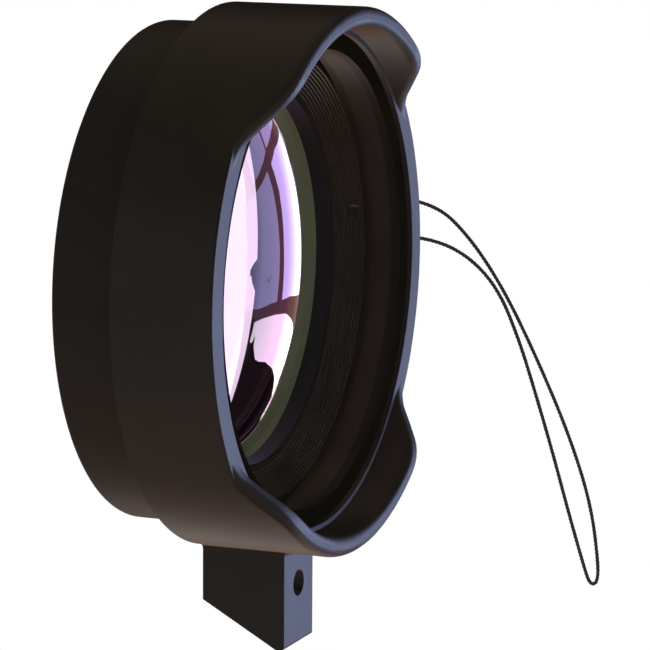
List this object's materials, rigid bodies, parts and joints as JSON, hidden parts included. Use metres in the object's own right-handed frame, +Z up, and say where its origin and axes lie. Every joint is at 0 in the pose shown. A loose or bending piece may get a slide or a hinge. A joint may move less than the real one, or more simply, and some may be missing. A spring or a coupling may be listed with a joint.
{
  "type": "underwater macro lens",
  "caption": "Push-on wet close-up lens with a petal-rimmed hood, stepped baffle ring, coated glass, soft rear sleeve, carrying tab and cord loop.",
  "frame": {"origin": "centre of the rear mouth of the push-on port bore, on the optical axis", "axes": "+Y along the optical axis out of the rear mouth, towards the camera; the lens looks along -Y; +Z up, with the carrying tab hanging along -Z and the cord on the +X side"},
  "size_m": [0.1072, 0.0434, 0.0951],
  "materials": {
    "hood": "satin black moulding",
    "sleeve": "matte",
    "barrel": "black anodised",
    "front_ring": "black anodised",
    "baffle": "black anodised, finely stepped",
    "clamp": "black anodised",
    "front_glass": "coated, purple sheen",
    "inner_glass": "polished",
    "spacer": "black anodised",
    "seal": "matte",
    "cord": "braided",
    "bead": "crimped"
  },
  "bodies": {
    "root": {"hood": "hood", "port_sleeve": "sleeve", "lens_barrel": "barrel", "front_ring": "front_ring", "baffle_ring": "baffle", "clamp_ring": "clamp", "front_element": "front_glass", "middle_element": "inner_glass", "element_spacer": "spacer", "rear_element": "inner_glass", "rear_gasket": "seal", "front_seal": "seal", "lanyard_cord": "cord", "cord_beads": "bead"}
  },
  "joints": []
}
